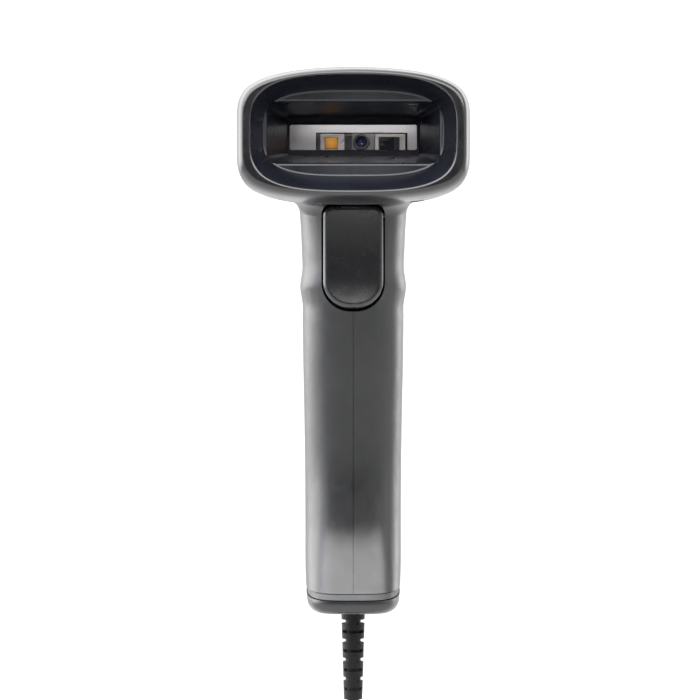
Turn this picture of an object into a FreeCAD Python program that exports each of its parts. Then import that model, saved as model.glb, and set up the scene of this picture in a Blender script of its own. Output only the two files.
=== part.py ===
"""Handheld barcode scanner with a corded handle, as an assembly of separate solids.

Millimetres. +X is the user's left when they aim it, -Y is the way the scan window faces, +Z is up.
The origin is the middle of the grip. The casing is a left and a right shell split down the middle, with a
top cover over the head, a bumper round the scan mouth and a cap under the foot.
"""
import FreeCAD, Part
import math
import os

from FreeCAD import Vector

# ---------------------------------------------------------------- driving dimensions
OUTLINE_POINTS = 36                 # points on one superellipse outline

HEAD_Z = 89.0                       # height of the scan axis
HEAD_FRONT_Y = -46.0                # where the casing ends and the bumper begins
COVER_SPLIT_Z = 91.2                # parting plane between the top cover and the two shells
COVER_PROUD = 0.3                   # the top cover stands this far outside the shells
WALL = 2.2
SEAM = 0.12                         # half the gap between neighbouring casing parts
MIDDLE_SEAM = 0.03                  # half the gap between the left and the right shell
GROOVE_WIDTH = 0.14                 # half the width of the line along the seam down the handle
GROOVE_DEPTH = 0.18

# Head sections from front to back: y, half width, half height, squareness, centre z, arch of the top
HEAD_SECTIONS = [
    (HEAD_FRONT_Y, 34.3, 19.85, 5.2, HEAD_Z - 0.4, 0.20),
    (-32.0, 33.5, 19.5, 4.8, HEAD_Z - 0.3, 0.19),
    (-10.0, 30.9, 18.4, 4.0, HEAD_Z + 0.1, 0.16),
    (11.0, 27.0, 16.7, 3.3, HEAD_Z + 0.3, 0.12),
    (25.0, 22.4, 14.4, 2.9, HEAD_Z, 0.08),
    (36.0, 16.8, 11.6, 2.6, HEAD_Z - 0.6, 0.05),
]
BELLY_ARCH = 0.6                    # the underside's arch, as a share of the top's
HEAD_BACK_RADIUS = 7.5
NECK_RADIUS = 4.2

# Handle sections from the foot up: z, half width, front y, back y, front squareness
FOOT_BOTTOM_Z = -56.9
HANDLE_BACK_SQUARENESS = 2.5
HANDLE_SECTIONS = [
    (FOOT_BOTTOM_Z, 13.85, -26.2, 17.4, 3.8),
    (-54.0, 14.25, -26.7, 17.6, 3.8),
    (-50.4, 14.85, -25.9, 17.8, 3.6),
    (-45.5, 15.15, -23.7, 18.1, 3.3),
    (-39.5, 15.3, -21.1, 18.5, 3.0),
    (-30.0, 15.35, -18.1, 18.6, 2.7),
    (-14.0, 15.45, -16.8, 18.2, 2.5),
    (5.0, 15.7, -17.9, 16.8, 2.5),
    (25.0, 16.05, -19.9, 14.9, 2.5),
    (40.5, 16.2, -21.6, 13.9, 2.5),
    (45.2, 16.9, -22.4, 13.8, 2.5),
    (50.0, 16.25, -22.8, 13.9, 2.5),
    (60.0, 16.5, -23.4, 14.6, 2.6),
    (72.0, 17.3, -24.8, 16.4, 2.8),
    (86.0, 18.4, -26.5, 18.0, 3.0),
]
HANDLE_STEP = 5.0                   # height between the outlines that the handle is lofted through
FINGER_STOP_Z = 45.2                # one outline falls on the small bulge beside the trigger
FOOT_EDGE_RADIUS = 3.6
FOOT_TILT = 5.0                     # degrees, the foot's seams rise towards the back
FOOT_SEAM = (-22.0, -50.1)          # a point (y, z) on the seam above the foot's gasket
FOOT_GASKET_HEIGHT = 1.9
FOOT_FLOOR = 2.6

# Bumper round the scan mouth
BUMPER_FRONT_Y = -60.0
# Half width, half height, squareness, centre z and arch of the outlines at the front of the head
BUMPER = (34.5, 19.95, 5.2, HEAD_Z - 0.4, 0.20)
BUMPER_NOSE = (2.6, 8.0)            # how far the rounded front draws in, and how deep it is
LIP_RADIUS = 0.8
BUMPER_INSIDE = (32.1, 17.7, 4.6, HEAD_Z - 0.3, 0.15)
LIP_BACK_Y = -58.6
TONGUE_LENGTH = 3.0                 # the part of the bumper that reaches into the shells

# Scan mouth: half width, half height, squareness of the lip and of the bowl's floor
LIP = (29.95, 16.75, 3.6, HEAD_Z - 0.4, 0.08)
BOWL_FLOOR = (26.7, 12.65, 3.3, HEAD_Z + 0.1, 0.0)
BOWL_FLOOR_Y = -52.0
BOWL_FLOOR_RADIUS = 0.9
FUNNEL_RIM = (31.8, 17.4, 4.6, HEAD_Z - 0.3, 0.15)
FUNNEL_FRONT_Y = -58.45
FUNNEL_BACK_Y = -50.2
DUCT_WALL = 1.6
# Half width, half height and centre z of the rectangular recess at the bowl's floor and at the window
RECESS_FRONT = (25.7, 9.1, HEAD_Z + 0.35)
RECESS_BACK = (20.1, 5.9, HEAD_Z + 0.8)
RECESS_EDGE_RADIUS = 0.8
WINDOW_Y = -37.0
WINDOW_Z = HEAD_Z + 0.8
WINDOW = (21.1, 7.1, 1.5)           # half width, half height, thickness
WINDOW_OPENING = (19.35, 3.85, HEAD_Z + 0.65)   # clear opening in the gasket: half sizes, centre z
GASKET_THICKNESS = 1.0

# Imaging engine
ENGINE_FRONT_Y = -28.0
ENGINE_FACE = 1.2                   # thickness of the frames on the engine's face
ENGINE_X = (-11.2, 16.4)
ENGINE_Z = (84.0, 91.7)
ENGINE_BACK_Y = -17.0
CARRIER_Y = (-27.0, -25.6)
ENGINE_SOCKET_Z = (84.9, 88.4)
LENS_X, LENS_Z = 2.45, 88.9
LENS_RING_RADIUS = 2.5
LAMP_X = (-10.2, -2.7)
LAMP_LENS = (-8.7, -4.8, 86.9, 90.4)    # x and z limits
LENS_BLOCK_X = (-0.4, 6.4)
AIMER_X = (6.6, 16.1)
AIMER_WINDOW_X = (7.9, 14.2)

# Trigger
TRIGGER_HALF_WIDTH = 9.35
TRIGGER_TOP_Z, TRIGGER_BOTTOM_Z = 69.8, 37.9
TRIGGER_TOP_RADIUS, TRIGGER_BOTTOM_RADIUS = 3.0, 8.5
TRIGGER_GAP = 0.55
TRIGGER_EXTRA_GAP = 0.4             # added below, where the toe swings down as it is pulled
TRIGGER_FACE = [                    # y, z down the curved front of the trigger
    (-24.4, 72.0),
    (-23.3, 62.0),
    (-22.8, 54.0),
    (-23.0, 45.0),
    (-23.7, 40.0),
    (-24.6, 35.8),
]
TRIGGER_BACK_Y = -17.6
PIVOT_Y, PIVOT_Z = -18.6, 67.0
PIN_RADIUS = 1.0
PIN_CLEARANCE = 0.05
PLUNGER_Z = 50.0
PLUNGER_TIP_Y = -15.4
SWITCH_FRONT_Y = -12.4
SPRING_Z = 43.6
SPRING_BACK_Y = -10.2
SPRING_RADIUS, SPRING_WIRE = 2.0, 0.25

# Boards
BOARD_Y = (-7.4, -5.8)
BOARD_Z = (-44.0, 66.0)
BOARD_HALF_WIDTH = 10.6

# Cable, boot and plug
CABLE_Y = 0.8
CABLE_RADIUS = 1.8
BOOT_FLANGE_Z = -53.3
BOOT_COLLAR_Z = -59.6
BOOT_END_Z = -87.2
BOOT_PITCH = 6.15
HANK_FIRST_RADIUS = 10.8            # centre line of the innermost strand at a fold
HANK_PITCH = 3.85                   # from one strand to the next, across and through the hank
HANK_STRANDS = 3                    # strands side by side in one leg
HANK_LAYERS = 4
HANK_HALF_RUN = 27.0                # from the hank's waist to the centre of a fold
HANK_PINCH = 6.5                    # how far the tie draws each leg in
HANK_TOP_Z = -124.5
FREE_CABLE_Z = -86.0                # the cable is held straight inside the boot down to here
TIE_HEIGHT = 9.0
PLUG_TOP_DROP = 11.0                # from the hank's waist to the top of the plug

# Plug
PLUG_BODY = (15.6, 7.8, 25.0)       # moulded grip: width, thickness, length
PLUG_SHELL = (12.0, 4.5, 15.0)      # standard plug: width, thickness, length outside the grip
PLUG_NECK = (3.4, 2.5, 8.0)         # cable sleeve: radius above the grip, radius at its end, length

# Screws and small details
CASE_SCREWS = [(7.0, 54.0), (9.5, 8.0), (11.8, -36.0)]      # y, z of the screws across the handle
CASE_SCREW_HEAD_X = -9.6
FOOT_SCREWS = [(7.2, -15.0), (-7.2, -15.0)]                 # x, y of the screws up into the shells
CARRIER_SCREWS = [(27.0, 86.5), (-27.0, 86.5)]              # x, z of the screws through the carrier
SOUND_SLOT = ((17.2, 21.2), (-44.0, -34.0), (60.0, 80.0))   # lets the beeper be heard, under the head
LIGHT_Y = 4.0                       # middle of the status light on top of the head
INDICATOR_Z = 97.0                  # underside of the small board below it

PARTS = "parts"


# ---------------------------------------------------------------- helpers
def unit_outline(angle, squareness):
    """The point in this direction on the superellipse whose half sizes are 1."""
    u, v = math.cos(angle), math.sin(angle)
    reach = (abs(u) ** squareness + abs(v) ** squareness) ** (-1 / squareness)
    return reach * u, reach * v


def closed_curve(points):
    curve = Part.BSplineCurve()
    curve.interpolate(Points=points, PeriodicFlag=True)
    return Part.Wire([curve.toShape()])


def oval_at_y(y, half_x, half_z, squareness, centre_z=HEAD_Z, arch=0.0):
    """A superellipse outline across the scan axis, with its top and bottom arched."""
    points = []
    for k in range(OUTLINE_POINTS):
        u, v = unit_outline(2 * math.pi * k / OUTLINE_POINTS, squareness)
        drop = arch if v > 0 else arch * BELLY_ARCH
        points.append(Vector(half_x * u, y, centre_z + half_z * v * (1 - drop * u * u)))
    return closed_curve(points)


def grown(outline, by):
    """The same outline with each side moved outwards."""
    return [outline[0] + by, outline[1] + by, *outline[2:]]


def handle_outline(z, half_x, front_y, back_y, front_squareness):
    """A horizontal outline of the handle, squarer in front than behind."""
    widest_y = 0.5 * (front_y + back_y)
    points = []
    for k in range(OUTLINE_POINTS):
        t = 2 * math.pi * k / OUTLINE_POINTS
        behind = math.sin(t) > 0
        u, v = unit_outline(t, HANDLE_BACK_SQUARENESS if behind else front_squareness)
        half_y = back_y - widest_y if behind else widest_y - front_y
        points.append(Vector(half_x * u, widest_y + half_y * v, z))
    return closed_curve(points)


def loft(wires):
    return Part.makeLoft(wires, True, False)


def box(x, y, z):
    """A box from three (low, high) pairs."""
    corner = Vector(x[0], y[0], z[0])
    return Part.makeBox(x[1] - x[0], y[1] - y[0], z[1] - z[0], corner)


def rod(start, end, radius):
    along = end - start
    return Part.makeCylinder(radius, along.Length, start, along)


def cone(start, end, radius_start, radius_end):
    along = end - start
    return Part.makeCone(radius_start, radius_end, along.Length, start, along)


def rounded_rectangle_at_y(y, half_x, half_z, radius, centre_x=0.0, centre_z=HEAD_Z):
    """A rectangle with round corners, across the scan axis."""
    return rounded_outline(
        half_x, radius, radius, centre_z - half_z, centre_z + half_z, y, centre_x
    )


def rounded_outline(half_x, low_radius, high_radius, low_z, high_z, y, centre_x=0.0):
    """A closed outline in the plane y, with one radius for its lower and one for its upper corners."""
    edges = []
    corners = [
        (half_x, low_z, low_radius, 1, -1),
        (half_x, high_z, high_radius, 1, 1),
        (-half_x, high_z, high_radius, -1, 1),
        (-half_x, low_z, low_radius, -1, -1),
    ]
    ends = []
    for number, (x, z, radius, side_x, side_z) in enumerate(corners):
        centre = Vector(centre_x + x - side_x * radius, y, z - side_z * radius)
        along_x = centre + Vector(0, 0, side_z * radius)
        along_z = centre + Vector(side_x * radius, 0, 0)
        middle = centre + Vector(side_x, 0, side_z) * (radius / math.sqrt(2))
        start, end = (along_x, along_z) if number % 2 == 0 else (along_z, along_x)
        ends.append((start, end, Part.Arc(start, middle, end).toShape()))
    for number, (_, end, arc) in enumerate(ends):
        edges.append(arc)
        next_start = ends[(number + 1) % 4][0]
        if (next_start - end).Length > 1e-6:
            edges.append(Part.LineSegment(end, next_start).toShape())
    return Part.Wire(edges)


def rounded_block(x, y, z, radius):
    """A block with its four edges along Y rounded."""
    centre_x = 0.5 * (x[0] + x[1])
    wire = rounded_outline(0.5 * (x[1] - x[0]), radius, radius, z[0], z[1], y[0], centre_x)
    return Part.Face(wire).extrude(Vector(0, y[1] - y[0], 0))


def fillet(shape, radius, chosen):
    """Rounds the edges that chosen(edge) picks, and leaves the shape as it is if there are none."""
    edges = [edge for edge in shape.Edges if chosen(edge)]
    return shape.makeFillet(radius, edges) if edges else shape


def lies_at(edge, axis, value, tolerance=0.01):
    """Whether the whole edge is in one plane across an axis."""
    box_of_edge = edge.BoundBox
    low = getattr(box_of_edge, axis + "Min")
    high = getattr(box_of_edge, axis + "Max")
    return abs(low - value) < tolerance and abs(high - value) < tolerance


def fuse_all(shapes):
    return shapes[0].multiFuse(shapes[1:]).removeSplitter() if len(shapes) > 1 else shapes[0]


def cut_all(shape, tools):
    return shape.cut(Part.makeCompound(tools)) if tools else shape


def turned_up(shape, degrees, y, z):
    """Turns a shape about an axis along X through (y, z)."""
    turned = shape.copy()
    turned.rotate(Vector(0, y, z), Vector(1, 0, 0), degrees)
    return turned


def strip(points, x, thickness):
    """A flat strip that follows points (y, z), with round bends."""
    pieces = []
    for start, end in zip(points, points[1:]):
        along = Vector(0, end[0] - start[0], end[1] - start[1])
        across = Vector(0, -along.z, along.y).normalize() * (thickness / 2)
        first = Vector(x[0], start[0], start[1])
        corners = [first + across, first - across, first - across + along, first + across + along]
        face = Part.Face(Part.makePolygon(corners + corners[:1]))
        pieces.append(face.extrude(Vector(x[1] - x[0], 0, 0)))
    for y, z in points[1:-1]:
        pieces.append(rod(Vector(x[0], y, z), Vector(x[1], y, z), thickness / 2))
    return fuse_all(pieces)


def screw(tip, head, shank_radius, head_radius, head_height):
    """A pan head screw from its tip to the underside of its head, with a cross recess."""
    along = (head - tip).normalize()
    shank = rod(tip, head, shank_radius)
    cap = rod(head, head + along * head_height, head_radius)
    side = Vector(0, 0, 1) if abs(along.z) < 0.5 else Vector(1, 0, 0)
    other = along.cross(side)
    top = head + along * head_height
    slots = []
    for direction in (side, other):
        across = along.cross(direction) * (0.16 * head_radius)
        reach = direction * (0.6 * head_radius)
        corners = [top + reach + across, top - reach + across, top - reach - across, top + reach - across]
        face = Part.Face(Part.makePolygon(corners + corners[:1]))
        slots.append(face.extrude(along * (-0.5 * head_height)))
    return cut_all(shank.fuse(cap), slots)


# ---------------------------------------------------------------- casing
def head_solid(inset, front_y):
    """The head, made smaller all round by inset; its front is drawn on to front_y."""
    sections = []
    for y, *outline in HEAD_SECTIONS:
        sections.append([y, *grown(outline, -inset)])
    sections[-1][0] -= inset
    solid = loft([oval_at_y(*section) for section in sections])
    back_y = sections[-1][0]
    solid = fillet(solid, HEAD_BACK_RADIUS - inset, lambda edge: lies_at(edge, "Y", back_y))
    if front_y < HEAD_FRONT_Y:
        wire = oval_at_y(front_y, *sections[0][1:])
        lead = Part.Face(wire).extrude(Vector(0, HEAD_FRONT_Y - front_y, 0))
        solid = solid.fuse(lead)
    return solid


def smooth_row(rows, at):
    """Interpolates a table whose first column rises, without overshooting between its rows."""
    steps = [b[0] - a[0] for a, b in zip(rows, rows[1:])]
    number = max(k for k in range(len(steps)) if rows[k][0] <= at + 1e-9)
    t = (at - rows[number][0]) / steps[number]
    result = []
    for column in range(1, len(rows[0])):
        slopes = [(b[column] - a[column]) / step for a, b, step in zip(rows, rows[1:], steps)]

        def tangent(k):
            if k == 0 or k == len(slopes):
                return slopes[min(k, len(slopes) - 1)]
            before, after = slopes[k - 1], slopes[k]
            return 0.0 if before * after <= 0 else 2 * before * after / (before + after)

        low, high = rows[number][column], rows[number + 1][column]
        leave, arrive = tangent(number) * steps[number], tangent(number + 1) * steps[number]
        result.append(
            low * (1 + 2 * t) * (1 - t) ** 2
            + leave * t * (1 - t) ** 2
            + high * t * t * (3 - 2 * t)
            - arrive * t * t * (1 - t)
        )
    return result


def handle_solid(inset, bottom_z):
    """The handle, made smaller all round by inset, from bottom_z up into the head."""
    top_z = HANDLE_SECTIONS[-1][0]
    count = int((FINGER_STOP_Z - bottom_z) / HANDLE_STEP - 0.5)
    heights = [bottom_z] + [FINGER_STOP_Z - HANDLE_STEP * k for k in range(count, 0, -1)]
    while heights[-1] + 1.5 * HANDLE_STEP < top_z:
        heights.append(heights[-1] + HANDLE_STEP)
    wires = []
    for z in heights + [top_z]:
        half_x, front_y, back_y, squareness = smooth_row(HANDLE_SECTIONS, z)
        wires.append(handle_outline(z, half_x - inset, front_y + inset, back_y - inset, squareness))
    return loft(wires)


def casing_solid(inset, front_y, bottom_z):
    """Head and handle in one, with the neck filleted between them."""
    both = head_solid(inset, HEAD_FRONT_Y).fuse(handle_solid(inset, bottom_z))
    neck = [
        edge
        for edge in both.Edges
        if edge.Closed and 62 < edge.BoundBox.ZMin and edge.BoundBox.ZMax < 84 and edge.BoundBox.YMin < 0
    ]
    both = both.makeFillet(NECK_RADIUS + inset, neck)
    if front_y < HEAD_FRONT_Y:
        both = both.fuse(
            box((-60, 60), (front_y, HEAD_FRONT_Y + 0.5), (40, 130)).common(head_solid(inset, front_y))
        )
    return both


def below_foot_seam(drop):
    """Everything under the foot's tilted seam, lowered by drop."""
    y, z = FOOT_SEAM
    slab = box((-60, 60), (y - 60, y + 100), (z - drop - 60, z - drop))
    return turned_up(slab, FOOT_TILT, y, z)


def above_foot_seam(rise):
    y, z = FOOT_SEAM
    slab = box((-60, 60), (y - 60, y + 100), (z + rise, z + rise + 260))
    return turned_up(slab, FOOT_TILT, y, z)


def trigger_outline(extra, extra_below, y):
    return rounded_outline(
        TRIGGER_HALF_WIDTH + extra,
        TRIGGER_BOTTOM_RADIUS + extra,
        TRIGGER_TOP_RADIUS + extra,
        TRIGGER_BOTTOM_Z - extra - extra_below,
        TRIGGER_TOP_Z + extra,
        y,
    )


def shell_additions(side, inside):
    """Bosses, rails and posts inside one shell. side is +1 for +X and -1 for -X."""
    near, far = 0.15, 26.0
    pieces = []
    for y, z in CASE_SCREWS:
        pieces.append(rod(Vector(side * near, y, z), Vector(side * far, y, z), 3.2))
    for z_low, z_high in ((-22.0, -14.0), (18.0, 26.0), (54.0, 60.0)):
        x = sorted((side * (BOARD_HALF_WIDTH - 1.3), side * far))
        pieces.append(box(x, (BOARD_Y[0] - 1.75, BOARD_Y[0] - 0.15), (z_low, z_high)))
        pieces.append(box(x, (BOARD_Y[1] + 0.15, BOARD_Y[1] + 1.75), (z_low, z_high)))
    bore_x = sorted((side * (TRIGGER_HALF_WIDTH + 0.9), side * far))
    pieces.append(rod(Vector(bore_x[0], PIVOT_Y, PIVOT_Z), Vector(bore_x[1], PIVOT_Y, PIVOT_Z), 2.5))
    for x, y in FOOT_SCREWS:
        if x * side > 0:
            pieces.append(rod(Vector(x, y, -52), Vector(x, y, -40.5), 2.8))
            pieces.append(box(sorted((x, side * far)), (y - 0.7, y + 0.7), (-52, -41)))
    for x, z in CARRIER_SCREWS:
        if x * side > 0:
            pieces.append(rod(Vector(x, CARRIER_Y[1] + 0.05, z), Vector(x, -14.0, z), 3.0))
            pieces.append(box(sorted((x, side * 40)), (CARRIER_Y[1] + 0.05, -14.0), (z - 0.8, z + 0.8)))
    if side > 0:
        seat_z = (SPRING_Z - 3.2, SPRING_Z + 3.2)
        pieces.append(box((-3.2, far), (SPRING_BACK_Y, SPRING_BACK_Y + 1.2), seat_z))
        spigot_end = Vector(0, SPRING_BACK_Y - 2.4, SPRING_Z)
        pieces.append(rod(Vector(0, SPRING_BACK_Y + 0.2, SPRING_Z), spigot_end, 1.2))
    return [piece.common(inside) for piece in pieces]


def shell(side, outer, inside, below_cover):
    """One side of the casing, with its bosses and holes."""
    x = sorted((side * MIDDLE_SEAM, side * 80.0))
    half_space = box(x, (-120, 120), (-120, 200))
    body = outer.common(half_space).common(below_cover).common(above_foot_seam(SEAM))
    skin = body.cut(inside)
    room = inside.common(half_space).common(below_cover).common(above_foot_seam(SEAM))
    solid = skin.multiFuse(shell_additions(side, room))
    tools = [Part.Face(trigger_outline(TRIGGER_GAP, TRIGGER_EXTRA_GAP, -40.0)).extrude(Vector(0, 25.2, 0))]
    tools.append(rod(Vector(-12.2, PIVOT_Y, PIVOT_Z), Vector(12.2, PIVOT_Y, PIVOT_Z), PIN_RADIUS + 0.02))
    for y, z in CASE_SCREWS:
        if side < 0:
            tools.append(rod(Vector(-40, y, z), Vector(CASE_SCREW_HEAD_X, y, z), 2.75))
            tools.append(rod(Vector(-40, y, z), Vector(1, y, z), 1.4))
        else:
            tools.append(rod(Vector(-1, y, z), Vector(8.0, y, z), 1.12))
    if side > 0:
        tools.append(box(*SOUND_SLOT))
    for x_screw, y in FOOT_SCREWS:
        if x_screw * side > 0:
            tools.append(rod(Vector(x_screw, y, -56), Vector(x_screw, y, -42.0), 1.12))
    for x_screw, z in CARRIER_SCREWS:
        if x_screw * side > 0:
            tools.append(rod(Vector(x_screw, -30, z), Vector(x_screw, -16.5, z), 1.12))
    return cut_all(solid, tools)


def seam_groove():
    """The shallow bevel down the front and back of the handle where the shells meet."""
    wide = box((-GROOVE_WIDTH, GROOVE_WIDTH), (-60, 60), (-60, 90))
    return wide.cut(casing_solid(GROOVE_DEPTH, HEAD_FRONT_Y, FOOT_BOTTOM_Z))


def head_top_cover(inside):
    outer = head_solid(-COVER_PROUD, HEAD_FRONT_Y)
    over = box((-60, 60), (HEAD_FRONT_Y + SEAM, 80), (COVER_SPLIT_Z + SEAM, 140))
    skin = outer.common(over).cut(inside)
    snug = head_solid(WALL + 0.15, HEAD_FRONT_Y)
    keep = head_solid(WALL + 1.6, HEAD_FRONT_Y)
    middle_of_wall = head_solid(0.8, HEAD_FRONT_Y)
    tongues = []
    for side in (-1, 1):
        for y, half_x in ((-34.0, 26.0), (4.0, 20.0)):
            x = sorted((side * half_x, side * 45.0))
            upper = box(x, (y, y + 6.0), (COVER_SPLIT_Z + SEAM, COVER_SPLIT_Z + 3.0))
            lower = box(x, (y, y + 6.0), (COVER_SPLIT_Z - 3.0, COVER_SPLIT_Z + SEAM))
            tongues.append(upper.common(middle_of_wall).cut(keep))
            tongues.append(lower.common(snug).cut(keep))
    light = rounded_outline(6.2, 1.6, 1.6, -1.7, 1.7, 0, 0)
    opening = Part.Face(light).extrude(Vector(0, 60, 0))
    opening.rotate(Vector(0, 0, 0), Vector(1, 0, 0), 90)
    opening.translate(Vector(0, LIGHT_Y, 90))
    solid = skin.multiFuse(tongues)
    posts = []
    for x in (-6.5, 6.5):
        posts.append(rod(Vector(x, LIGHT_Y, INDICATOR_Z + 1.1), Vector(x, LIGHT_Y, 120), 1.4).common(outer))
    solid = solid.multiFuse(posts)
    return solid.cut(opening)


def quarter_round(outline_at, y, radius):
    """A cutter that rounds the mouth of an opening at y: quarter round, wide in front."""
    steps = 6
    wires = []
    for k in range(steps):
        turn = 0.5 * math.pi * k / (steps - 1)
        depth = y - 0.01 + radius * (1 - math.cos(turn))
        wires.append(outline_at(depth, radius * (1 - math.sin(turn)) + 0.005))
    return loft(wires)


def front_bumper():
    draw_in, depth = BUMPER_NOSE
    steps = 7
    wires = []
    for k in range(steps):
        turn = 0.5 * math.pi * (1 - k / (steps - 1))
        outline = grown(BUMPER, -draw_in * (1 - math.cos(turn)))
        wires.append(oval_at_y(BUMPER_FRONT_Y + depth * (1 - math.sin(turn)), *outline))
    back = Part.Face(oval_at_y(BUMPER_FRONT_Y + depth, *BUMPER)).extrude(
        Vector(0, HEAD_FRONT_Y - SEAM - BUMPER_FRONT_Y - depth, 0)
    )
    outer = loft(wires).fuse(back)
    lip = Part.Face(oval_at_y(BUMPER_FRONT_Y - 5, *LIP)).extrude(Vector(0, 10, 0))
    lip_round = quarter_round(lambda y, by: oval_at_y(y, *grown(LIP, by)), BUMPER_FRONT_Y, LIP_RADIUS)
    cavity = Part.Face(oval_at_y(LIP_BACK_Y, *BUMPER_INSIDE)).extrude(Vector(0, 30, 0))
    ring = outer.cut(lip).cut(lip_round).cut(cavity)
    casing_edge = HEAD_SECTIONS[0][1:]
    tongue_length = 2.0 + TONGUE_LENGTH
    gap = WALL + 0.25
    tongue_outer = Part.Face(oval_at_y(HEAD_FRONT_Y - 2.0, *grown(casing_edge, -gap))).extrude(
        Vector(0, tongue_length, 0)
    )
    tongue_inner = Part.Face(oval_at_y(HEAD_FRONT_Y - 3.0, *grown(casing_edge, -gap - 1.3))).extrude(
        Vector(0, 9.0, 0)
    )
    root = Part.Face(oval_at_y(HEAD_FRONT_Y - 2.0, *BUMPER)).extrude(Vector(0, 2.0 - SEAM, 0))
    collar = root.cut(tongue_inner)
    ring = ring.multiFuse([collar, tongue_outer.cut(tongue_inner)])
    catches = []
    for x in (-11.0, 11.0):
        for z in ((HEAD_Z - 18.8, HEAD_Z - 16.6), (HEAD_Z + 16.2, HEAD_Z + 18.2)):
            catches.append(box((x - 3, x + 3), (FUNNEL_BACK_Y + 0.1, FUNNEL_BACK_Y + 1.5), z))
    return ring.multiFuse(catches)


# ---------------------------------------------------------------- scan mouth
def recess_outline(y, by=0.0):
    """The rectangular recess at depth y, with each side moved outwards."""
    share = (y - BOWL_FLOOR_Y) / (WINDOW_Y - BOWL_FLOOR_Y)
    half_x, half_z, centre_z = (a + (b - a) * share for a, b in zip(RECESS_FRONT, RECESS_BACK))
    return rounded_rectangle_at_y(y, half_x + by, half_z + by, 1.0 + by, 0.0, centre_z)


def scan_funnel():
    plate = Part.Face(oval_at_y(FUNNEL_FRONT_Y, *FUNNEL_RIM)).extrude(
        Vector(0, FUNNEL_BACK_Y - FUNNEL_FRONT_Y, 0)
    )
    bowl = loft([oval_at_y(FUNNEL_FRONT_Y - 0.01, *LIP), oval_at_y(BOWL_FLOOR_Y, *BOWL_FLOOR)])
    bowl = fillet(bowl, BOWL_FLOOR_RADIUS, lambda edge: lies_at(edge, "Y", BOWL_FLOOR_Y))
    duct = Part.makeLoft(
        [recess_outline(FUNNEL_BACK_Y - 1.0, DUCT_WALL), recess_outline(WINDOW_Y, DUCT_WALL)], True, True
    )
    half_x, half_z, thickness = WINDOW
    tray = Part.Face(
        rounded_rectangle_at_y(WINDOW_Y - 1.2, half_x + 1.6, half_z + 1.4, 1.5, 0.0, WINDOW_Z)
    ).extrude(Vector(0, 1.2 + thickness + GASKET_THICKNESS, 0))
    pocket = Part.Face(
        rounded_rectangle_at_y(WINDOW_Y, half_x + 0.12, half_z + 0.12, 0.6, 0.0, WINDOW_Z)
    ).extrude(Vector(0, 10, 0))
    void = Part.makeLoft([recess_outline(BOWL_FLOOR_Y - 4.0), recess_outline(WINDOW_Y + 0.01)], True, True)
    solid = plate.cut(bowl).multiFuse([duct, tray]).cut(void).cut(pocket)
    return solid.cut(quarter_round(recess_outline, BOWL_FLOOR_Y, RECESS_EDGE_RADIUS))


def scan_window():
    half_x, half_z, thickness = WINDOW
    outline = rounded_rectangle_at_y(WINDOW_Y, half_x, half_z, 0.5, 0.0, WINDOW_Z)
    pane = Part.Face(outline).extrude(Vector(0, thickness, 0))
    return fillet(pane, 0.2, lambda edge: lies_at(edge, "Y", WINDOW_Y))


def window_gasket():
    half_x, half_z, thickness = WINDOW
    front = WINDOW_Y + thickness
    outline = rounded_rectangle_at_y(front, half_x, half_z, 0.5, 0.0, WINDOW_Z)
    frame = Part.Face(outline).extrude(Vector(0, GASKET_THICKNESS, 0))
    open_x, open_z, open_centre_z = WINDOW_OPENING
    wire = rounded_rectangle_at_y(front - 1, open_x, open_z, 0.6, 0.0, open_centre_z)
    return frame.cut(Part.Face(wire).extrude(Vector(0, 5, 0)))


# ---------------------------------------------------------------- imaging engine
def engine_carrier():
    plate = rounded_block((-30.2, 30.2), CARRIER_Y, (80.0, 98.6), 3.0)
    for side in (-1, 1):
        x = sorted((side * 23.5, side * 40))
        plate = plate.cut(box(x, (-40, 0), (90.5, 110)))
        plate = plate.cut(box(x, (-40, 0), (70, 82.5)))
    opening_x = (ENGINE_X[0] - 0.3, ENGINE_X[1] + 0.3)
    opening_z = (ENGINE_Z[0] - 0.3, ENGINE_Z[1] + 0.3)
    plate = plate.cut(box(opening_x, (-40, 0), opening_z))
    shelf_x = (ENGINE_X[0] - 2.0, ENGINE_X[1] + 2.0)
    shelf = box(shelf_x, (CARRIER_Y[0], ENGINE_BACK_Y + 3.0), (ENGINE_Z[0] - 1.7, ENGINE_Z[0] - 0.3))
    cheeks = [
        box((shelf_x[0], shelf_x[0] + 1.2), (CARRIER_Y[0], ENGINE_BACK_Y + 3.0), (ENGINE_Z[0] - 1.0, 90.0)),
        box((shelf_x[1] - 1.2, shelf_x[1]), (CARRIER_Y[0], ENGINE_BACK_Y + 3.0), (ENGINE_Z[0] - 1.0, 90.0)),
    ]
    solid = plate.multiFuse([shelf] + cheeks)
    holes = [rod(Vector(x, -40, z), Vector(x, 0, z), 1.35) for x, z in CARRIER_SCREWS]
    return cut_all(solid, holes)


def carrier_screws():
    return [
        screw(Vector(x, CARRIER_Y[1] + 7.5, z), Vector(x, CARRIER_Y[0] - 0.02, z), 1.1, 2.1, 1.5)
        for x, z in CARRIER_SCREWS
    ]


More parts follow.
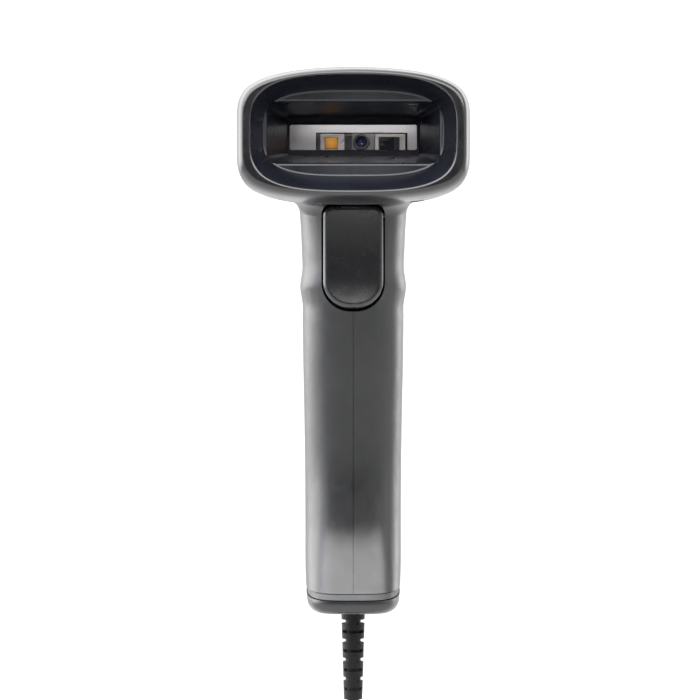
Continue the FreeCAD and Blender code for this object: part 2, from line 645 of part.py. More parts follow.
def engine_chassis():
    front = ENGINE_FRONT_Y + ENGINE_FACE + 0.03
    body = box(ENGINE_X, (front, ENGINE_BACK_Y - 0.03), ENGINE_Z)
    body = fillet(body, 0.4, lambda edge: lies_at(edge, "Y", front))
    low_x, high_x, low_z, high_z = LAMP_LENS
    lamp = box((low_x - 0.1, high_x + 0.1), (front - 1, -24.4), (low_z - 0.1, high_z + 0.1))
    slot_x = (LAMP_X[1] + 0.3, LENS_BLOCK_X[0] - 0.1)
    slot = box(slot_x, (front - 1, -24.0), (ENGINE_Z[0] + 1.0, ENGINE_Z[1] - 0.8))
    barrel = rod(Vector(LENS_X, front - 1, LENS_Z), Vector(LENS_X, -20.4, LENS_Z), LENS_RING_RADIUS + 0.1)
    prism = box(AIMER_WINDOW_X, (front - 1, -24.4), (ENGINE_Z[0] + 1.5, ENGINE_Z[1] - 1.0))
    return cut_all(body, [lamp, slot, barrel, prism])


def face_frame(x, z, opening_x, opening_z, corner=0.5):
    """A thin metal frame on the engine's face."""
    y = (ENGINE_FRONT_Y, ENGINE_FRONT_Y + ENGINE_FACE)
    frame = rounded_block(x, y, z, corner)
    frame = frame.cut(box(opening_x, (y[0] - 1, y[1] + 1), opening_z))
    return fillet(frame, 0.15, lambda edge: lies_at(edge, "Y", y[0]))


def engine_lamp_frame():
    inner_x = (LAMP_LENS[0] - 0.12, LAMP_LENS[1] + 0.12)
    inner_z = (LAMP_LENS[2] - 0.12, LAMP_LENS[3] + 0.12)
    frame = face_frame(LAMP_X, (ENGINE_Z[0] + 0.3, ENGINE_Z[1] - 0.2), inner_x, inner_z)
    step = box(
        (LAMP_LENS[0] - 0.9, LAMP_LENS[1] + 1.0),
        (ENGINE_FRONT_Y - 1, ENGINE_FRONT_Y + 0.45),
        (LAMP_LENS[2] - 1.4, LAMP_LENS[3] + 0.7),
    )
    return frame.cut(step)


def engine_lamp_lens():
    lens = box(LAMP_LENS[:2], (ENGINE_FRONT_Y + 0.2, -24.5), LAMP_LENS[2:])
    return fillet(lens, 0.35, lambda edge: lies_at(edge, "Y", ENGINE_FRONT_Y + 0.2))


def engine_lens_block():
    block = rounded_block(
        LENS_BLOCK_X,
        (ENGINE_FRONT_Y, ENGINE_FRONT_Y + ENGINE_FACE),
        (ENGINE_Z[0] + 0.3, ENGINE_Z[1] - 0.1),
        0.4,
    )
    bore = rod(Vector(LENS_X, -40, LENS_Z), Vector(LENS_X, 0, LENS_Z), LENS_RING_RADIUS + 0.1)
    return block.cut(bore)


def engine_lens_ring():
    """The threaded lens holder, with a knurled rim."""
    back, front = -20.6, ENGINE_FRONT_Y - 0.9
    ring = rod(Vector(LENS_X, back, LENS_Z), Vector(LENS_X, front, LENS_Z), LENS_RING_RADIUS)
    ring = fillet(ring, 0.35, lambda edge: lies_at(edge, "Y", front))
    bore = rod(Vector(LENS_X, back - 1, LENS_Z), Vector(LENS_X, front - 1, LENS_Z), 1.55)
    cup = cone(Vector(LENS_X, front + 0.9, LENS_Z), Vector(LENS_X, front - 0.1, LENS_Z), 1.5, 2.0)
    ring = ring.cut(bore).cut(cup)
    notches = []
    count = 20
    for k in range(count):
        t = 2 * math.pi * k / count
        x = LENS_X + (LENS_RING_RADIUS + 0.1) * math.cos(t)
        z = LENS_Z + (LENS_RING_RADIUS + 0.1) * math.sin(t)
        notches.append(rod(Vector(x, front - 1, z), Vector(x, front + 0.7, z), 0.22))
    return cut_all(ring, notches)


def engine_lens_glass():
    front = ENGINE_FRONT_Y + 0.25
    disc = rod(Vector(LENS_X, front + 1.0, LENS_Z), Vector(LENS_X, front, LENS_Z), 1.5)
    radius = 3.2
    ball = Part.makeSphere(radius, Vector(LENS_X, front + radius, LENS_Z))
    return disc.common(ball)


def engine_aimer_frame():
    z = (ENGINE_Z[0] + 0.3, ENGINE_Z[1] - 0.2)
    frame = face_frame(AIMER_X, z, AIMER_WINDOW_X, (z[0] + 1.4, z[1] - 1.0))
    notch_x = (AIMER_WINDOW_X[1] + 0.5, AIMER_X[1] - 0.6)
    notch = box(notch_x, (-40, ENGINE_FRONT_Y + 0.5), (z[0] + 1.4, z[1] - 1.0))
    return frame.cut(notch)


def engine_aimer_prism():
    """The dark notched wedge inside the aimer's frame."""
    low, high = ENGINE_Z[0] + 1.7, ENGINE_Z[1] - 1.4
    left, right = AIMER_WINDOW_X[0] + 0.3, AIMER_WINDOW_X[1] - 1.7
    tip_z = 88.9
    front = ENGINE_FRONT_Y + 0.1
    corners = [
        Vector(left, front, tip_z),
        Vector(right, front, high),
        Vector(right, front, low),
        Vector(left, front, low),
        Vector(left, front, tip_z - 1.3),
        Vector(0.45 * left + 0.55 * right, front, tip_z - 0.6),
    ]
    face = Part.Face(Part.makePolygon(corners + corners[:1]))
    return face.extrude(Vector(0, 3.4, 0))


def engine_board():
    x = (ENGINE_X[0] - 0.2, ENGINE_X[1] + 0.2)
    return box(x, (ENGINE_BACK_Y, ENGINE_BACK_Y + 1.0), (ENGINE_Z[0] - 0.1, ENGINE_Z[1] + 0.7))


def engine_socket():
    back = ENGINE_BACK_Y + 1.0
    body = box((-4.0, 9.0), (back, back + 1.9), ENGINE_SOCKET_Z)
    slot = box((-2.7, 7.7), (back + 0.5, back + 3), (86.35, 86.75))
    return body.cut(slot)


def engine_flex():
    points = [(-15.4, 86.55), (-11.6, 86.55), (-11.6, 75.5), (-3.0, 69.2), (-3.0, 61.5), (-5.0, 61.5)]
    return strip(points, (-2.5, 7.5), 0.22)


# ---------------------------------------------------------------- boards in the handle
def main_board():
    x = (-BOARD_HALF_WIDTH, BOARD_HALF_WIDTH)
    board = rounded_block(x, BOARD_Y, BOARD_Z, 1.2)
    return board.cut(box((-6.2, 6.2), (-20, 20), (BOARD_Z[0] - 1, -41.0)))


def board_socket():
    """Flat cable socket at the top of the main board."""
    y = (BOARD_Y[1], BOARD_Y[1] + 1.8)
    body = box((-3.8, 8.8), y, (59.6, 63.2))
    return body.cut(box((-2.7, 7.7), (y[0] + 0.5, y[1] + 1), (61.3, 61.7)))


def indicator_socket():
    y = (BOARD_Y[1], BOARD_Y[1] + 1.8)
    body = box((-9.2, -5.2), y, (55.6, 58.6))
    return body.cut(box((-8.7, -6.1), (y[0] + 0.5, y[1] + 1), (56.9, 57.3)))


def chip(x, z, width, height, thickness):
    y = (BOARD_Y[0] - thickness, BOARD_Y[0])
    body = box((x - width / 2, x + width / 2), y, (z - height / 2, z + height / 2))
    return fillet(body, 0.15, lambda edge: lies_at(edge, "Y", y[0]))


def board_passives():
    """Two rows of small parts beside the chips."""
    pieces = []
    for k in range(7):
        z = -32.0 + 9.5 * k
        for x in (-8.0, 8.0):
            pieces.append(box((x - 0.6, x + 0.6), (BOARD_Y[0] - 0.8, BOARD_Y[0]), (z - 1.0, z + 1.0)))
    return pieces


def beeper():
    back = BOARD_Y[1]
    can = rod(Vector(0, back, 36.0), Vector(0, back + 5.0, 36.0), 6.0)
    can = fillet(can, 0.5, lambda edge: lies_at(edge, "Y", back + 5.0))
    return can.cut(rod(Vector(0, back + 3.4, 36.0), Vector(0, back + 9, 36.0), 1.0))


def switch_body():
    y = (SWITCH_FRONT_Y, BOARD_Y[0])
    body = rounded_block((-3.1, 3.1), y, (PLUNGER_Z - 3.1, PLUNGER_Z + 3.1), 0.5)
    bore = rod(Vector(0, SWITCH_FRONT_Y - 1, PLUNGER_Z), Vector(0, BOARD_Y[0] - 0.8, PLUNGER_Z), 1.8)
    return body.cut(bore)


def switch_plunger():
    tip = Vector(0, PLUNGER_TIP_Y, PLUNGER_Z)
    return fillet(
        rod(tip, Vector(0, -10.2, PLUNGER_Z), 1.5), 0.3, lambda edge: lies_at(edge, "Y", PLUNGER_TIP_Y)
    )


# ---------------------------------------------------------------- trigger
def trigger_face_solid(inset):
    """Everything behind the trigger's concave face, drawn back by inset."""
    curve = Part.BSplineCurve()
    points = [Vector(0, y + inset, z) for y, z in TRIGGER_FACE]
    curve.interpolate(Points=points)
    back = -8.0
    top, bottom = points[0], points[-1]
    edges = [
        curve.toShape(),
        Part.LineSegment(bottom, Vector(0, back, bottom.z)).toShape(),
        Part.LineSegment(Vector(0, back, bottom.z), Vector(0, back, top.z)).toShape(),
        Part.LineSegment(Vector(0, back, top.z), top).toShape(),
    ]
    face = Part.Face(Part.Wire(edges))
    face.translate(Vector(-20, 0, 0))
    return face.extrude(Vector(40, 0, 0))


def trigger():
    outline = Part.Face(trigger_outline(0.0, 0.0, -40.0))
    pad = outline.extrude(Vector(0, 40.0 + TRIGGER_BACK_Y, 0)).common(trigger_face_solid(0.0))
    front_edges = [edge for edge in pad.Edges if edge.BoundBox.YMax < -19.5]
    pad = pad.makeFillet(1.5, front_edges)
    inner = Part.Face(trigger_outline(-1.7, 0.0, -40.0)).extrude(Vector(0, 60.0, 0))
    pad = pad.cut(inner.common(trigger_face_solid(1.9)))
    hub = rod(Vector(-8.6, PIVOT_Y, PIVOT_Z), Vector(8.6, PIVOT_Y, PIVOT_Z), 2.2)
    nose = box((-1.3, 1.3), (-22.6, PLUNGER_TIP_Y - 0.25), (PLUNGER_Z - 1.6, PLUNGER_Z + 1.6))
    cup = rod(Vector(0, -22.4, SPRING_Z), Vector(0, -18.9, SPRING_Z), 3.2)
    web = box((-0.7, 0.7), (-22.6, -17.9), (SPRING_Z - 2.0, PIVOT_Z - 1.0))
    keep = Part.Face(trigger_outline(-0.4, 0.0, -40.0)).extrude(Vector(0, 60.0, 0))
    extras = [piece.common(trigger_face_solid(0.6)).common(keep) for piece in (hub, nose, cup, web)]
    solid = pad.multiFuse(extras)
    pocket = rod(Vector(0, -20.4, SPRING_Z), Vector(0, -10, SPRING_Z), SPRING_RADIUS + 0.6)
    bore = rod(Vector(-12, PIVOT_Y, PIVOT_Z), Vector(12, PIVOT_Y, PIVOT_Z), PIN_RADIUS + PIN_CLEARANCE)
    return cut_all(solid, [pocket, bore])


def trigger_pin():
    pin = rod(Vector(-11.9, PIVOT_Y, PIVOT_Z), Vector(11.9, PIVOT_Y, PIVOT_Z), PIN_RADIUS)
    ends = [edge for edge in pin.Edges if edge.BoundBox.XMax - edge.BoundBox.XMin < 0.01]
    return pin.makeChamfer(0.2, ends)


def trigger_spring():
    front, back = -20.3, SPRING_BACK_Y - 0.1
    length = back - front - 2 * SPRING_WIRE
    helix = Part.makeHelix(length / 6.0, length, SPRING_RADIUS)
    profile = Part.Wire([Part.Circle(Vector(SPRING_RADIUS, 0, 0), Vector(0, 1, 0), SPRING_WIRE).toShape()])
    coil = Part.Wire(helix.Edges).makePipeShell([profile], True, True)
    coil.rotate(Vector(0, 0, 0), Vector(1, 0, 0), -90)
    coil.translate(Vector(0, front + SPRING_WIRE, SPRING_Z))
    return coil


# ---------------------------------------------------------------- status light
def status_light_pipe():
    bar = Part.Face(rounded_outline(6.05, 1.45, 1.45, -1.55, 1.55, 0, 0)).extrude(Vector(0, 60, 0))
    bar.rotate(Vector(0, 0, 0), Vector(1, 0, 0), 90)
    bar.translate(Vector(0, LIGHT_Y, INDICATOR_Z + 3.0))
    bar = bar.common(head_solid(-COVER_PROUD + 0.15, HEAD_FRONT_Y))
    return bar


def indicator_board():
    board = box((-8.6, 8.6), (LIGHT_Y - 3.4, LIGHT_Y + 3.4), (INDICATOR_Z, INDICATOR_Z + 1.0))
    return board


def status_leds():
    top = INDICATOR_Z + 1.0
    return [box((x - 0.8, x + 0.8), (LIGHT_Y - 1.2, LIGHT_Y + 1.2), (top, top + 0.9)) for x in (-3.0, 3.0)]


def indicator_flex():
    y = LIGHT_Y + 2.0
    points = [(y, INDICATOR_Z - 0.12), (y + 3.0, INDICATOR_Z - 1.6), (y + 1.0, 78.0)]
    points += [(-2.2, 66.0), (-2.2, 57.1), (-5.0, 57.1)]
    return strip(points, (-8.5, -6.3), 0.22)


# ---------------------------------------------------------------- foot
def foot_solid():
    outer = handle_solid(0.0, FOOT_BOTTOM_Z)
    return fillet(outer, FOOT_EDGE_RADIUS, lambda edge: lies_at(edge, "Z", FOOT_BOTTOM_Z))


def foot_gasket(inside):
    band = foot_solid().common(below_foot_seam(SEAM)).common(above_foot_seam(-FOOT_GASKET_HEIGHT + SEAM))
    ring = band.cut(inside)
    inset = handle_solid(0.35, FOOT_BOTTOM_Z)
    return ring.common(inset)


def foot_cap(inside):
    cap = foot_solid().common(below_foot_seam(FOOT_GASKET_HEIGHT + SEAM)).cut(inside)
    tools = []
    pieces = [cap]
    for x, y in FOOT_SCREWS:
        pieces.append(rod(Vector(x, y, FOOT_BOTTOM_Z + 1), Vector(x, y, -51.2), 3.1))
        tools.append(rod(Vector(x, y, FOOT_BOTTOM_Z - 1), Vector(x, y, FOOT_BOTTOM_Z + 2.2), 2.6))
        tools.append(rod(Vector(x, y, FOOT_BOTTOM_Z - 1), Vector(x, y, -50), 1.4))
    pieces.append(box((-5.0, 5.0), (13.3, 14.7), (FOOT_BOTTOM_Z + 1, -46.0)))
    tools.append(rod(Vector(0, CABLE_Y, -70), Vector(0, CABLE_Y, -40), 4.15))
    solid = pieces[0].multiFuse(pieces[1:])
    return cut_all(solid, tools)


def foot_screws():
    return [
        screw(Vector(x, y, -44.5), Vector(x, y, FOOT_BOTTOM_Z + 2.2 - 0.02), 1.1, 2.4, 1.6)
        for x, y in FOOT_SCREWS
    ]


def case_screws():
    return [
        screw(Vector(7.6, y, z), Vector(CASE_SCREW_HEAD_X - 0.02, y, z), 1.1, 2.4, 1.8)
        for y, z in CASE_SCREWS
    ]


# ---------------------------------------------------------------- cable
def cable_socket():
    """Modular socket on the back of the main board, open downwards."""
    body = box((-6.1, 6.1), (BOARD_Y[1], 5.4), (-46.0, -30.0))
    mouth = box((-4.95, 4.95), (CABLE_Y - 3.4, CABLE_Y + 3.4), (-60, -33.0))
    return body.cut(mouth)


def cable_inner_plug():
    body = box((-4.8, 4.8), (CABLE_Y - 3.2, CABLE_Y + 3.2), (-50.0, -35.0))
    body = fillet(body, 0.4, lambda edge: lies_at(edge, "Z", -50.0))
    latch = box((-1.6, 1.6), (CABLE_Y + 3.2, CABLE_Y + 4.0), (-50.0, -47.0))
    bore = rod(Vector(0, CABLE_Y, -60), Vector(0, CABLE_Y, -44.0), CABLE_RADIUS + 0.05)
    return cut_all(body.fuse(latch), [bore] + cable_contacts())


def cable_contacts():
    return [
        box((x - 0.2, x + 0.2), (CABLE_Y - 3.3, CABLE_Y - 2.6), (-40.0, -34.95))
        for x in [-2.55 + 1.02 * k for k in range(6)]
    ]


def cable_boot():
    floor_z = FOOT_BOTTOM_Z + FOOT_FLOOR
    flange = rod(Vector(0, CABLE_Y, floor_z + 0.05), Vector(0, CABLE_Y, BOOT_FLANGE_Z), 5.6)
    collar = rod(Vector(0, CABLE_Y, floor_z + 0.1), Vector(0, CABLE_Y, BOOT_COLLAR_Z), 4.05)
    body = cone(Vector(0, CABLE_Y, BOOT_COLLAR_Z + 0.1), Vector(0, CABLE_Y, BOOT_END_Z), 3.8, 2.95)
    solid = fuse_all([flange, collar, body])
    core = rod(Vector(0, CABLE_Y, -95), Vector(0, CABLE_Y, -55), 2.45)
    tools = []
    count = int((BOOT_COLLAR_Z - BOOT_END_Z) / BOOT_PITCH)
    for k in range(count + 1):
        side_z = BOOT_COLLAR_Z - 2.6 - BOOT_PITCH * k
        front_z = side_z - BOOT_PITCH / 2
        for side in (-1, 1):
            x = sorted((side * 1.35, side * 6))
            if side_z > BOOT_END_Z + 1.5:
                tools.append(box(x, (CABLE_Y - 6, CABLE_Y + 6), (side_z - 0.7, side_z + 0.7)).cut(core))
            y = sorted((CABLE_Y + side * 1.35, CABLE_Y + side * 6))
            if front_z > BOOT_END_Z + 1.5:
                tools.append(box((-6, 6), y, (front_z - 0.5, front_z + 0.5)).cut(core))
    bore = rod(Vector(0, CABLE_Y, -95), Vector(0, CABLE_Y, -50), CABLE_RADIUS + 0.05)
    return cut_all(solid, tools + [bore])


def hank_centre():
    """Middle of the hank: its waist, where the tie is."""
    outer = HANK_FIRST_RADIUS + HANK_PITCH * (HANK_STRANDS - 1) + CABLE_RADIUS
    return Vector(0, CABLE_Y, HANK_TOP_Z - outer - HANK_HALF_RUN)


def hank_entry_y():
    """Depth of the strand that comes down in front of the hank's layers."""
    return CABLE_Y - HANK_PITCH * (HANK_LAYERS + 1) / 2


def hank_outline(radius, y, steps=12):
    """One closed turn of the hank: two folds, and two legs drawn in at the waist."""
    centre = hank_centre()
    points = []
    for k in range(steps + 1):
        t = math.pi * k / steps
        points.append(Vector(radius * math.cos(t), y, centre.z + HANK_HALF_RUN + radius * math.sin(t)))
    for k in range(1, steps):
        z = HANK_HALF_RUN * (1 - 2.0 * k / steps)
        points.append(Vector(-(radius - hank_pinch(z)), y, centre.z + z))
    for k in range(steps + 1):
        t = math.pi * k / steps
        points.append(Vector(-radius * math.cos(t), y, centre.z - HANK_HALF_RUN - radius * math.sin(t)))
    for k in range(1, steps):
        z = HANK_HALF_RUN * (2.0 * k / steps - 1)
        points.append(Vector(radius - hank_pinch(z), y, centre.z + z))
    return closed_curve(points)


def hank_pinch(z):
    return HANK_PINCH * math.cos(math.pi * z / (2 * HANK_HALF_RUN)) ** 2


def cable_hank():
    front = hank_entry_y() - CABLE_RADIUS
    back = hank_entry_y() + HANK_PITCH * HANK_LAYERS + CABLE_RADIUS
    outer = HANK_FIRST_RADIUS + HANK_PITCH * (HANK_STRANDS - 1) + CABLE_RADIUS
    inner = HANK_FIRST_RADIUS - CABLE_RADIUS
    loop = Part.Face(hank_outline(outer, front)).extrude(Vector(0, back - front, 0))
    hole = Part.Face(hank_outline(inner, front - 1)).extrude(Vector(0, back - front + 2, 0))
    return loop.cut(hole)


def cable_core():
    """The length of cable held straight inside the inner plug and the boot."""
    return rod(Vector(0, CABLE_Y, -44.1), Vector(0, CABLE_Y, FREE_CABLE_Z), CABLE_RADIUS)


def tube_corners():
    """Corners of the free length of cable, from the boot to the hank."""
    entry = hank_entry_y()
    return [
        Vector(0, CABLE_Y, FREE_CABLE_Z),
        Vector(0, CABLE_Y, -98.0),
        Vector(0, entry, -113.5),
        Vector(0, entry, HANK_TOP_Z - 2.0),
    ]


def cable_lead():
    """The free length of cable: straight runs joined by tangent arcs."""
    corners = tube_corners()
    edges = []
    start = corners[0]
    for before, corner, after in zip(corners, corners[1:], corners[2:]):
        into = (corner - before).normalize()
        out = (after - corner).normalize()
        reach = 0.45 * min((corner - before).Length, (after - corner).Length)
        arc_start = corner - into * reach
        arc_end = corner + out * reach
        half_turn = 0.5 * into.getAngle(out)
        radius = reach / math.tan(half_turn)
        print("free cable bend radius", round(radius, 1))
        bisector = (out - into).normalize()
        middle = corner + bisector * (radius / math.cos(half_turn) - radius)
        edges.append(Part.LineSegment(start, arc_start).toShape())
        edges.append(Part.Arc(arc_start, middle, arc_end).toShape())
        start = arc_end
    edges.append(Part.LineSegment(start, corners[-1]).toShape())
    path = Part.Wire(edges)
    profile = Part.Wire([Part.Circle(corners[0], Vector(0, 0, 1), CABLE_RADIUS).toShape()])
    return path.makePipeShell([profile], True, False)


def cable_tie():
    """The strap round the hank's waist."""
    centre = hank_centre()
    half_x = HANK_FIRST_RADIUS + HANK_PITCH * (HANK_STRANDS - 1) - HANK_PINCH + CABLE_RADIUS + 0.7
    front = hank_entry_y() - CABLE_RADIUS - 0.3
    back = hank_entry_y() + HANK_PITCH * (HANK_LAYERS + 1) + CABLE_RADIUS + 0.3
    z = (centre.z - TIE_HEIGHT / 2, centre.z + TIE_HEIGHT / 2)
    outer = strap_block(half_x + 1.2, front - 1.2, back + 1.2, z, 2.4)
    return outer.cut(strap_block(half_x, front, back, (z[0] - 1, z[1] + 1), 1.2))


def strap_block(half_x, front, back, z, radius):
    block = box((-half_x, half_x), (front, back), z)
    upright = [edge for edge in block.Edges if edge.BoundBox.ZMax - edge.BoundBox.ZMin > 1]
    return block.makeFillet(radius, upright)


# ---------------------------------------------------------------- plug


def plug_middle():
    y = hank_entry_y() + HANK_PITCH * HANK_LAYERS + CABLE_RADIUS + 0.5 + PLUG_BODY[1] / 2
    return Vector(0, y, hank_centre().z - PLUG_TOP_DROP)


def usb_grip():
    """The moulded grip of the plug, with the sleeve for the cable on top."""
    top = plug_middle()
    width, thickness, length = PLUG_BODY
    neck_z = top.z - PLUG_NECK[2]
    body = box(
        (top.x - width / 2, top.x + width / 2),
        (top.y - thickness / 2, top.y + thickness / 2),
        (neck_z - length, neck_z),
    )
    upright = [edge for edge in body.Edges if edge.BoundBox.ZMax - edge.BoundBox.ZMin > 1]
    body = body.makeFillet(2.2, upright)
    body = fillet(body, 1.2, lambda edge: lies_at(edge, "Z", neck_z))
    neck = cone(Vector(top.x, top.y, neck_z - 1), top, PLUG_NECK[0], PLUG_NECK[1])
    grips = []
    for k in range(5):
        z = neck_z - 7.0 - 2.6 * k
        for side in (-1, 1):
            x = sorted((top.x + side * (width / 2 - 0.45), top.x + side * width))
            grips.append(box(x, (top.y - 9, top.y + 9), (z - 0.6, z + 0.6)))
    bore = rod(Vector(top.x, top.y, top.z - 12), Vector(top.x, top.y, top.z + 5), CABLE_RADIUS + 0.05)
    seat = plug_shell_outer(neck_z - length, neck_z - length + 6.0)
    return cut_all(body.fuse(neck), grips + [bore, seat])


def plug_shell_outer(low, high, shrink=0.0):
    middle = plug_middle()
    half_x = PLUG_SHELL[0] / 2 - shrink
    half_y = PLUG_SHELL[1] / 2 - shrink
    return box((middle.x - half_x, middle.x + half_x), (middle.y - half_y, middle.y + half_y), (low, high))


def usb_shell():
    end = plug_middle().z - PLUG_NECK[2] - PLUG_BODY[2]
    outer = plug_shell_outer(end - PLUG_SHELL[2], end + 5.95, 0.02)
    inner = plug_shell_outer(end - PLUG_SHELL[2] - 1, end + 5.0, 0.32)
    windows = []
    middle = plug_middle()
    for x in (-3.2, 3.2):
        windows.append(box((x - 1.1, x + 1.1), (middle.y - 9, middle.y + 9), (end - 9.0, end - 6.8)))
    return cut_all(outer, [inner] + windows)


def usb_tongue():
    middle = plug_middle()
    end = middle.z - PLUG_NECK[2] - PLUG_BODY[2]
    tongue = box((-5.6, 5.6), (middle.y - 1.85, middle.y + 0.1), (end - PLUG_SHELL[2] + 0.8, end + 4.9))
    return tongue


def usb_contacts():
    middle = plug_middle()
    end = middle.z - PLUG_NECK[2] - PLUG_BODY[2]
    return [
        box((x - 0.5, x + 0.5), (middle.y + 0.1, middle.y + 0.3), (end - PLUG_SHELL[2] + 1.4, end - 3.0))
        for x in (-3.5, -1.0, 1.0, 3.5)
    ]


# ---------------------------------------------------------------- assembly
def write(node, shape):
    """Writes one node: a single solid, or a group of solids that belong together."""
    if isinstance(shape, (list, tuple)):
        solids = [solid for piece in shape for solid in piece.Solids]
    else:
        solids = shape.Solids
    result = solids[0] if len(solids) == 1 else Part.makeCompound(solids)
    result.exportStep(os.path.join(PARTS, node + ".step"))
    print(node, len(solids), result.isValid(), round(result.Volume, 1))


def main():
    os.makedirs("parts", exist_ok=True)
    outer = casing_solid(0.0, HEAD_FRONT_Y, FOOT_BOTTOM_Z)
    inside = casing_solid(WALL, HEAD_FRONT_Y - 4.0, FOOT_BOTTOM_Z + FOOT_FLOOR)
    below_cover = box((-60, 60), (HEAD_FRONT_Y, 80), (-120, COVER_SPLIT_Z - SEAM))
    groove = seam_groove()

    write("left_shell", shell(1, outer, inside, below_cover).cut(groove))
    write("right_shell", shell(-1, outer, inside, below_cover).cut(groove))
    write("head_top_cover", head_top_cover(inside))
    write("front_bumper", front_bumper())
    write("case_screws", case_screws())

    write("scan_funnel", scan_funnel())
    write("scan_window", scan_window())
    write("window_gasket", window_gasket())

    write("engine_carrier", engine_carrier())
    write("carrier_screws", carrier_screws())
    write("engine_chassis", engine_chassis())
    write("engine_lamp_frame", engine_lamp_frame())
    write("engine_lamp_lens", engine_lamp_lens())
    write("engine_lens_block", engine_lens_block())
    write("engine_lens_ring", engine_lens_ring())
    write("engine_lens_glass", engine_lens_glass())
    write("engine_aimer_frame", engine_aimer_frame())
    write("engine_aimer_prism", engine_aimer_prism())
    write("engine_board", engine_board())
    write("engine_socket", engine_socket())
    write("engine_flex", engine_flex())

    write("main_board", main_board())
    write("board_socket", board_socket())
    write("indicator_socket", indicator_socket())
    write("processor_chip", chip(0.0, 21.0, 9.0, 9.0, 1.0))
    write("memory_chip", chip(0.5, 6.0, 8.0, 6.0, 0.9))
    write("interface_chip", chip(-0.5, -20.0, 5.0, 5.0, 0.9))
    write("board_passives", board_passives())
    write("beeper", beeper())
    write("switch_body", switch_body())
    write("switch_plunger", switch_plunger())

    write("trigger", trigger())
    write("trigger_pin", trigger_pin())
    write("trigger_spring", trigger_spring())

    write("status_light_pipe", status_light_pipe())
    write("indicator_board", indicator_board())
    write("status_leds", status_leds())
    write("indicator_flex", indicator_flex())

    write("foot_gasket", foot_gasket(inside))
    write("foot_cap", foot_cap(inside))
    write("foot_screws", foot_screws())

    write("cable_socket", cable_socket())
    write("cable_inner_plug", cable_inner_plug())
    write("cable_contacts", cable_contacts())
    write("cable_boot", cable_boot())
    write("cable_core", cable_core())
    write("cable_lead", cable_lead())
    write("cable_hank", cable_hank())
    write("cable_tie", cable_tie())
    write("usb_grip", usb_grip())
    write("usb_shell", usb_shell())
    write("usb_tongue", usb_tongue())
    write("usb_contacts", usb_contacts())


main()
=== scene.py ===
"""Looks of the handheld barcode scanner: camera, lead, materials, studio light."""
import math

import bpy
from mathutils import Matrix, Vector


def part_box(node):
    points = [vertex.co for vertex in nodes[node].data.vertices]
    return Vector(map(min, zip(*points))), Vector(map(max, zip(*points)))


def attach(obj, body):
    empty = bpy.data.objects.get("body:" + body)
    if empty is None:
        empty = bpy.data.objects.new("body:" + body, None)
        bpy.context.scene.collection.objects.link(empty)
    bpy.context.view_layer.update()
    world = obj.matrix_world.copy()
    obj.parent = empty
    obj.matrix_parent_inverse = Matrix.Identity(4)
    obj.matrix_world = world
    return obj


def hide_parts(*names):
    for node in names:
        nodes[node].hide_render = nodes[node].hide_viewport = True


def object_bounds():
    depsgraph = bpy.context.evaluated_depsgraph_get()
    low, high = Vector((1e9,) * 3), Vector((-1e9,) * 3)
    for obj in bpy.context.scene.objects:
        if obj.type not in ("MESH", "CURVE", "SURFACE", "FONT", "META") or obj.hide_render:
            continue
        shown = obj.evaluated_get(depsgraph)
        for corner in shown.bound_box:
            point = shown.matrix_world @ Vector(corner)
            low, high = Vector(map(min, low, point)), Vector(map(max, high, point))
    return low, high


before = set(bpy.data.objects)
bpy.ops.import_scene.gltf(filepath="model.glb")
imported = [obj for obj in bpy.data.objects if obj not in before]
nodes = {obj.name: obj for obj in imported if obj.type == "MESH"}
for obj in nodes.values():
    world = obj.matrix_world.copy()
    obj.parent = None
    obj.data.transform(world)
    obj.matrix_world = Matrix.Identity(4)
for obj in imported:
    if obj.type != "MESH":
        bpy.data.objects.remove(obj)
cad_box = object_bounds()

MM = 0.001


# ---------------------------------------------------------------- camera
CAMERA_AT = (-0.0010, -0.650, 0.0250)
CAMERA_LENS = 104.0

camera_data = bpy.data.cameras.new("camera")
camera_data.sensor_width = 36.0
camera_data.lens = CAMERA_LENS
camera_data.clip_start = 0.01
camera = bpy.data.objects.new("camera", camera_data)
camera.location = CAMERA_AT
camera.rotation_euler = (math.radians(90.0), 0.0, 0.0)
bpy.context.scene.collection.objects.link(camera)
bpy.context.scene.camera = camera


# ---------------------------------------------------------------- material helpers
def new_material(name):
    """A new node material and its default Principled shader, which it returns as well."""
    material = bpy.data.materials.new(name)
    material.use_nodes = True
    tree = material.node_tree
    shader = next(node for node in tree.nodes if node.type == "BSDF_PRINCIPLED")
    return material, tree, shader


def node(tree, kind, **settings):
    """A new node of a material's or world's tree, with the given settings."""
    made = tree.nodes.new(kind)
    for key, value in settings.items():
        setattr(made, key, value)
    return made


def grey(value):
    """The colour with all three channels at value."""
    return (value, value, value)


def place_of(tree):
    """The place on the object, in metres, that every pattern is laid out by."""
    return node(tree, "ShaderNodeTexCoord").outputs["Object"]


def noise(tree, scale, detail=2.0, roughness=0.5, where=None):
    made = node(tree, "ShaderNodeTexNoise")
    made.inputs["Scale"].default_value = scale
    made.inputs["Detail"].default_value = detail
    made.inputs["Roughness"].default_value = roughness
    tree.links.new(where or place_of(tree), made.inputs["Vector"])
    return made.outputs["Fac"]


def remap(tree, value, low, high, to_low, to_high):
    made = node(tree, "ShaderNodeMapRange")
    made.inputs["From Min"].default_value = low
    made.inputs["From Max"].default_value = high
    made.inputs["To Min"].default_value = to_low
    made.inputs["To Max"].default_value = to_high
    tree.links.new(value, made.inputs["Value"])
    return made.outputs["Result"]


def ramp(tree, value, stops):
    made = node(tree, "ShaderNodeValToRGB")
    elements = made.color_ramp.elements
    while len(elements) < len(stops):
        elements.new(0.5)
    for element, (position, colour) in zip(elements, stops):
        element.position = position
        element.color = (*colour, 1.0)
    tree.links.new(value, made.inputs["Fac"])
    return made.outputs["Color"]


